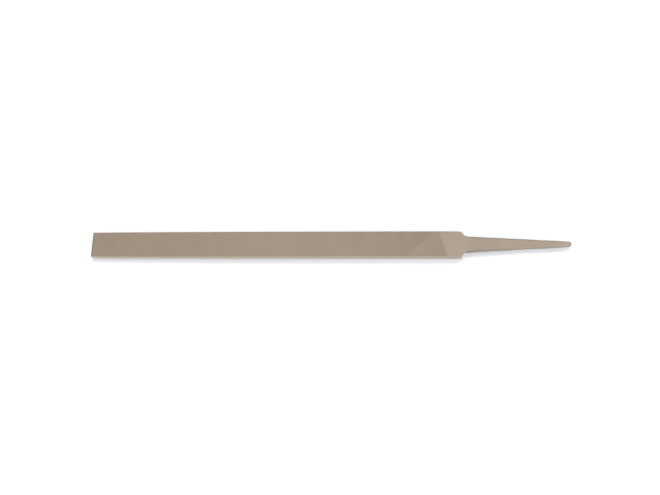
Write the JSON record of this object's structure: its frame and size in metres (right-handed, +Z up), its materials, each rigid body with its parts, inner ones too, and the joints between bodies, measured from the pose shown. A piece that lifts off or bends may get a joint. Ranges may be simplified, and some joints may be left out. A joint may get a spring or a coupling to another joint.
{
  "type": "flat file",
  "caption": "Flat hand file for metalwork: a steel bar of even width with toothed faces that thin towards the point, one smooth edge, a plain heel and a tapered tang for a handle.",
  "frame": {"origin": "on the plane the file lies on, under the middle of its overall length and width", "axes": "+X along the file from the point to the tang, +Y across the width from the smooth safe edge to the cut edge, +Z up out of the upper face"},
  "size_m": [0.2598, 0.014, 0.0054],
  "materials": {
    "cut_steel": "hardened file steel with fine chisel-cut teeth, warm grey",
    "ground_steel": "hardened steel, ground satin, warm grey",
    "forged_steel": "softer forged steel, satin, warm grey"
  },
  "bodies": {
    "root": {"blade": "cut_steel", "heel": "ground_steel", "tang": "forged_steel"}
  },
  "joints": []
}
